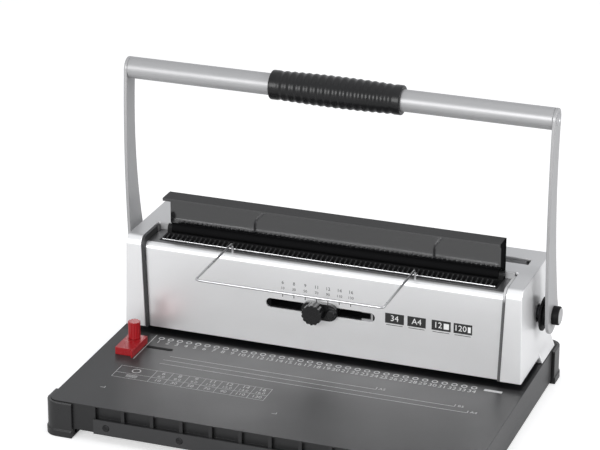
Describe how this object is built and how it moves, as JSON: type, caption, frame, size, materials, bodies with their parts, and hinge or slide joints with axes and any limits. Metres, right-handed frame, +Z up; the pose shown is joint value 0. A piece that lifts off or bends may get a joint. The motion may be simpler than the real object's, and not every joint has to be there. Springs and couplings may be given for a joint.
{
  "type": "coil binding machine",
  "caption": "Desk punch and wire binding machine: pull-down lever handle, black base with red edge guide, silver housing, hinged black lid, wire rack and size selector.",
  "frame": {"origin": "on the table under the middle of the bounding box", "axes": "+X to the right along the punch row, +Y to the rear, +Z up"},
  "size_m": [0.39, 0.264, 0.2685],
  "materials": {
    "base_black": "satin",
    "black_plastic": "satin",
    "silver_paint": "satin",
    "grey_paint": "satin",
    "steel": "satin",
    "bronze": "satin",
    "bright_wire": "polished",
    "black_gloss": "gloss",
    "grip_rubber": "matte",
    "red_plastic": "gloss"
  },
  "bodies": {
    "machine": {"base_shell": "base_black", "bottom_sheet": "steel", "foot_front_left": "base_black", "foot_front_right": "base_black", "foot_rear_left": "base_black", "foot_rear_right": "base_black", "front_strip": "base_black", "strip_screws": "black_plastic", "housing": "silver_paint", "front_panel": "silver_paint", "step_left": "silver_paint", "step_right": "silver_paint", "trim_left": "black_plastic", "trim_right": "black_plastic", "frame_left": "steel", "frame_right": "steel", "frame_bolts": "steel", "bush_left": "bronze", "bush_right": "bronze", "die_plate": "steel", "punch_guide": "steel", "paper_stop": "steel", "comb_tray": "black_plastic", "wire_comb": "steel", "hinge_rod": "steel", "rack_sockets": "black_plastic", "slot_plate": "black_plastic", "closer_anvil": "steel", "closer_floor": "steel"},
    "handle": {"drive_shaft": "steel", "punch_cam_left": "steel", "punch_cam_right": "steel", "jaw_cam_left": "steel", "jaw_cam_right": "steel", "disc_left": "black_plastic", "disc_right": "black_plastic", "arm_left": "grey_paint", "arm_right": "grey_paint", "handle_tube": "grey_paint", "grip": "grip_rubber", "cap_left": "black_plastic", "cap_right": "black_plastic"},
    "punch": {"pressure_bar": "steel", "punch_pins": "steel", "spring_left": "steel", "spring_right": "steel"},
    "jaw": {"closer_jaw": "steel"},
    "lid": {"lid": "black_gloss"},
    "rack": {"wire_rack": "bright_wire"},
    "selector": {"selector_slider": "black_plastic"},
    "selector_knob": {"selector_knob": "black_plastic"},
    "edge_guide": {"edge_guide": "red_plastic", "guide_fence": "black_plastic", "guide_nut": "steel"},
    "guide_screw": {"guide_screw": "red_plastic"},
    "drawer": {"chip_drawer": "black_plastic"}
  },
  "joints": [
    {"name": "handle_pull", "type": "hinge", "parent": "machine", "child": "handle", "pos_m": [0, 0.075, 0.0785], "axis": [1, 0, 0], "range_deg": [0, 75], "stiffness_Nm_per_rad": 0.6, "springref_deg": -34.38},
    {"name": "punch_drop", "type": "slide", "parent": "machine", "child": "punch", "axis": [0, 0, -1], "range_m": [0, 0.0071], "deforming": ["spring_left", "spring_right"]},
    {"name": "jaw_close", "type": "slide", "parent": "machine", "child": "jaw", "axis": [0, 1, 0], "range_m": [0, 0.0051]},
    {"name": "lid_swing", "type": "hinge", "parent": "machine", "child": "lid", "pos_m": [0, 0.0572, 0.1165], "axis": [1, 0, 0], "range_deg": [0, 50]},
    {"name": "rack_lift", "type": "slide", "parent": "machine", "child": "rack", "axis": [0, 0, 1], "range_m": [0, 0.045]},
    {"name": "selector_slide", "type": "slide", "parent": "machine", "child": "selector", "axis": [1, 0, 0], "range_m": [-0.041, 0.04]},
    {"name": "selector_turn", "type": "hinge", "parent": "selector", "child": "selector_knob", "pos_m": [-0.003, 0.016, 0.0744], "axis": [0, -1, 0], "continuous": true},
    {"name": "guide_slide", "type": "slide", "parent": "machine", "child": "edge_guide", "axis": [1, 0, 0], "range_m": [0, 0.033]},
    {"name": "guide_turn", "type": "hinge", "parent": "edge_guide", "child": "guide_screw", "pos_m": [-0.15675, -0.006, 0.045], "axis": [0, 0, 1], "continuous": true},
    {"name": "drawer_pull", "type": "slide", "parent": "machine", "child": "drawer", "axis": [-1, 0, 0], "range_m": [0, 0.25]}
  ],
  "couplings": [
    {"joint": "punch_drop", "follows": "handle_pull", "m_per_rad": 0.0053476},
    {"joint": "jaw_close", "follows": "handle_pull", "m_per_rad": 0.0038197}
  ]
}
